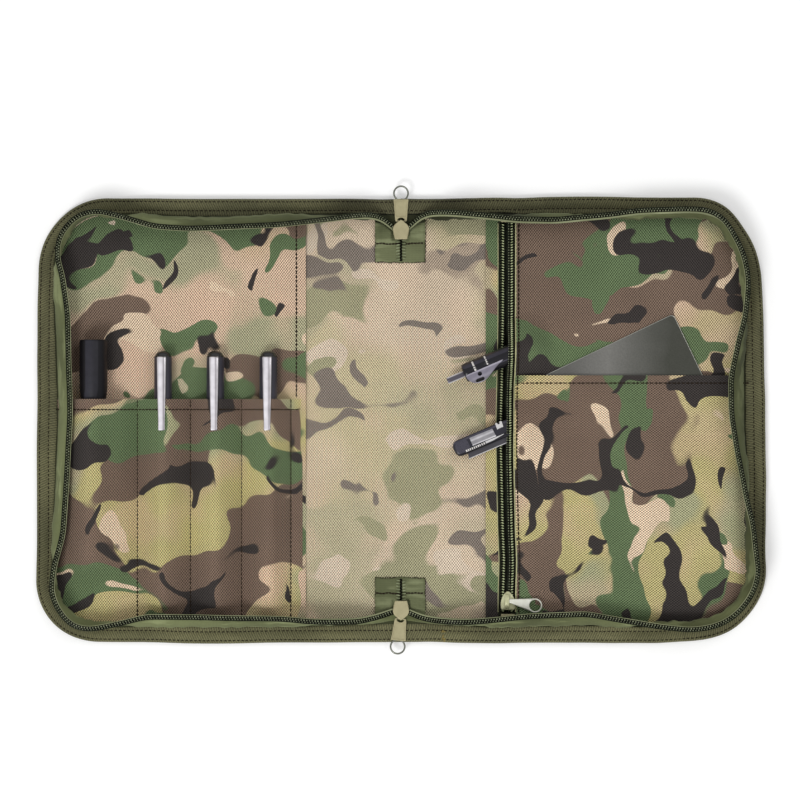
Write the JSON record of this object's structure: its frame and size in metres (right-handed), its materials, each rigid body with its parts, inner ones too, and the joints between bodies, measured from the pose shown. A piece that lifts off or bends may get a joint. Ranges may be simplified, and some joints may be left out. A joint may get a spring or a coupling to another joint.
{
  "type": "zip-around tool organiser case",
  "caption": "Padded zip-around fabric case opened flat, with pen sleeves, a zip pocket and a patch pocket holding pens, a pocket tool and a flat card",
  "frame": {"origin": "On the resting plane, under the middle of the spine of the opened case", "axes": "+X along the opened width from the pen cover to the zip-pocket cover, +Y up the pages, +Z out of the inner faces"},
  "size_m": [0.434, 0.2783, 0.0223],
  "materials": {
    "shell_fabric": "coated woven",
    "foam": "closed-cell foam board",
    "lining_fabric": "printed woven, washed-out reverse",
    "camo_fabric": "printed woven, disruptive blotches",
    "binding_webbing": "ribbed webbing",
    "zip_tape": "woven zip tape",
    "zip_coil": "nylon coil",
    "slider_metal": "satin",
    "pen_plastic": "gloss",
    "clip_metal": "polished",
    "marker_plastic": "satin",
    "card_steel": "dark brushed",
    "click_pen_plastic": "gloss",
    "button_metal": "polished",
    "tool_plastic": "satin",
    "tool_metal": "brushed"
  },
  "bodies": {
    "spine": {"spine_shell": "shell_fabric", "spine_pad": "foam", "spine_lining": "lining_fabric", "spine_binding": "binding_webbing", "spine_zip_tape": "zip_tape", "top_tab": "zip_tape", "top_tab_coil": "zip_coil", "bottom_tab": "zip_tape", "bottom_tab_coil": "zip_coil"},
    "left_cover": {"left_shell": "shell_fabric", "left_pad": "foam", "left_lining": "lining_fabric", "left_binding": "binding_webbing", "left_zip_tape": "zip_tape", "left_zip_coil": "zip_coil", "left_flap": "camo_fabric", "pen_sleeves": "camo_fabric"},
    "right_cover": {"right_shell": "shell_fabric", "right_pad": "foam", "right_lining": "lining_fabric", "right_binding": "binding_webbing", "right_zip_tape": "zip_tape", "right_zip_coil": "zip_coil", "pocket_strip": "camo_fabric", "pocket_left_tape": "zip_tape", "pocket_right_tape": "zip_tape", "pocket_left_coil": "zip_coil", "pocket_right_coil": "zip_coil", "pocket_zip_stops": "slider_metal", "pocket_panel": "camo_fabric", "patch_pocket": "camo_fabric"},
    "top_slider": {"top_slider": "slider_metal"},
    "top_pull": {"top_pull": "slider_metal"},
    "bottom_slider": {"bottom_slider": "slider_metal"},
    "bottom_pull": {"bottom_pull": "slider_metal"},
    "pocket_slider": {"pocket_slider": "slider_metal"},
    "pocket_pull": {"pocket_pull": "slider_metal"},
    "pen_1": {"pen_1_barrel": "pen_plastic"},
    "pen_1_cap": {"pen_1_cap": "pen_plastic", "pen_1_clip": "clip_metal"},
    "pen_2": {"pen_2_barrel": "pen_plastic"},
    "pen_2_cap": {"pen_2_cap": "pen_plastic", "pen_2_clip": "clip_metal"},
    "pen_3": {"pen_3_barrel": "pen_plastic"},
    "pen_3_cap": {"pen_3_cap": "pen_plastic", "pen_3_clip": "clip_metal"},
    "marker": {"marker_barrel": "marker_plastic"},
    "marker_cap": {"marker_cap": "marker_plastic"},
    "steel_card": {"steel_card": "card_steel"},
    "click_pen": {"click_pen_barrel": "click_pen_plastic", "click_pen_clip": "clip_metal"},
    "click_button": {"click_pen_button": "button_metal"},
    "pocket_tool": {"pocket_tool_body": "tool_plastic", "pocket_tool_plate": "tool_metal", "pocket_tool_bar": "tool_metal", "pocket_tool_latch": "tool_metal"}
  },
  "joints": [
    {"name": "left_fold", "type": "hinge", "parent": "spine", "child": "left_cover", "pos_m": [-0.016, 0, 0.0049], "axis": [0, 1, 0], "range_deg": [0, 90]},
    {"name": "right_fold", "type": "hinge", "parent": "spine", "child": "right_cover", "pos_m": [0.016, 0, 0.0049], "axis": [0, -1, 0], "range_deg": [0, 90]},
    {"name": "top_slider_run", "type": "slide", "parent": "spine", "child": "top_slider", "axis": [0, 1, 0], "range_m": [0, 0.005]},
    {"name": "top_pull_swing", "type": "hinge", "parent": "top_slider", "child": "top_pull", "pos_m": [0, 0.1155, 0.00575], "axis": [1, 0, 0], "range_deg": [0, 15]},
    {"name": "bottom_slider_run", "type": "slide", "parent": "spine", "child": "bottom_slider", "axis": [0, -1, 0], "range_m": [0, 0.005]},
    {"name": "bottom_pull_swing", "type": "hinge", "parent": "bottom_slider", "child": "bottom_pull", "pos_m": [0, -0.1155, 0.00575], "axis": [-1, 0, 0], "range_deg": [0, 15]},
    {"name": "pocket_slider_run", "type": "slide", "parent": "right_cover", "child": "pocket_slider", "axis": [0, 1, 0], "range_m": [0, 0.077]},
    {"name": "pocket_pull_swing", "type": "hinge", "parent": "pocket_slider", "child": "pocket_pull", "pos_m": [0.0631, -0.107, 0.00965], "axis": [0, 1, 0], "range_deg": [-180, 0]},
    {"name": "pen_1_slide", "type": "slide", "parent": "left_cover", "child": "pen_1", "axis": [0, -1, 0], "range_m": [-0.04, 0]},
    {"name": "pen_1_uncap", "type": "slide", "parent": "pen_1", "child": "pen_1_cap", "axis": [0, -1, 0], "range_m": [-0.03, 0]},
    {"name": "pen_2_slide", "type": "slide", "parent": "left_cover", "child": "pen_2", "axis": [0, -1, 0], "range_m": [-0.04, 0]},
    {"name": "pen_2_uncap", "type": "slide", "parent": "pen_2", "child": "pen_2_cap", "axis": [0, -1, 0], "range_m": [-0.03, 0]},
    {"name": "pen_3_slide", "type": "slide", "parent": "left_cover", "child": "pen_3", "axis": [0, -1, 0], "range_m": [-0.04, 0]},
    {"name": "pen_3_uncap", "type": "slide", "parent": "pen_3", "child": "pen_3_cap", "axis": [0, -1, 0], "range_m": [-0.03, 0]},
    {"name": "marker_slide", "type": "slide", "parent": "left_cover", "child": "marker", "axis": [0, -1, 0], "range_m": [-0.04, 0]},
    {"name": "marker_uncap", "type": "slide", "parent": "marker", "child": "marker_cap", "axis": [0, -1, 0], "range_m": [-0.03, 0]},
    {"name": "card_slide", "type": "slide", "parent": "right_cover", "child": "steel_card", "axis": [0, -1, 0], "range_m": [-0.045, 0]},
    {"name": "click_pen_slide", "type": "slide", "parent": "right_cover", "child": "click_pen", "axis": [0.9205, 0.3907, 0], "range_m": [-0.045, 0]},
    {"name": "click_button_press", "type": "slide", "parent": "click_pen", "child": "click_button", "axis": [0.9205, 0.3907, 0], "range_m": [0, 0.003], "stiffness_N_per_m": 700},
    {"name": "pocket_tool_slide", "type": "slide", "parent": "right_cover", "child": "pocket_tool", "axis": [0.9205, 0.3907, 0], "range_m": [-0.045, 0]}
  ]
}
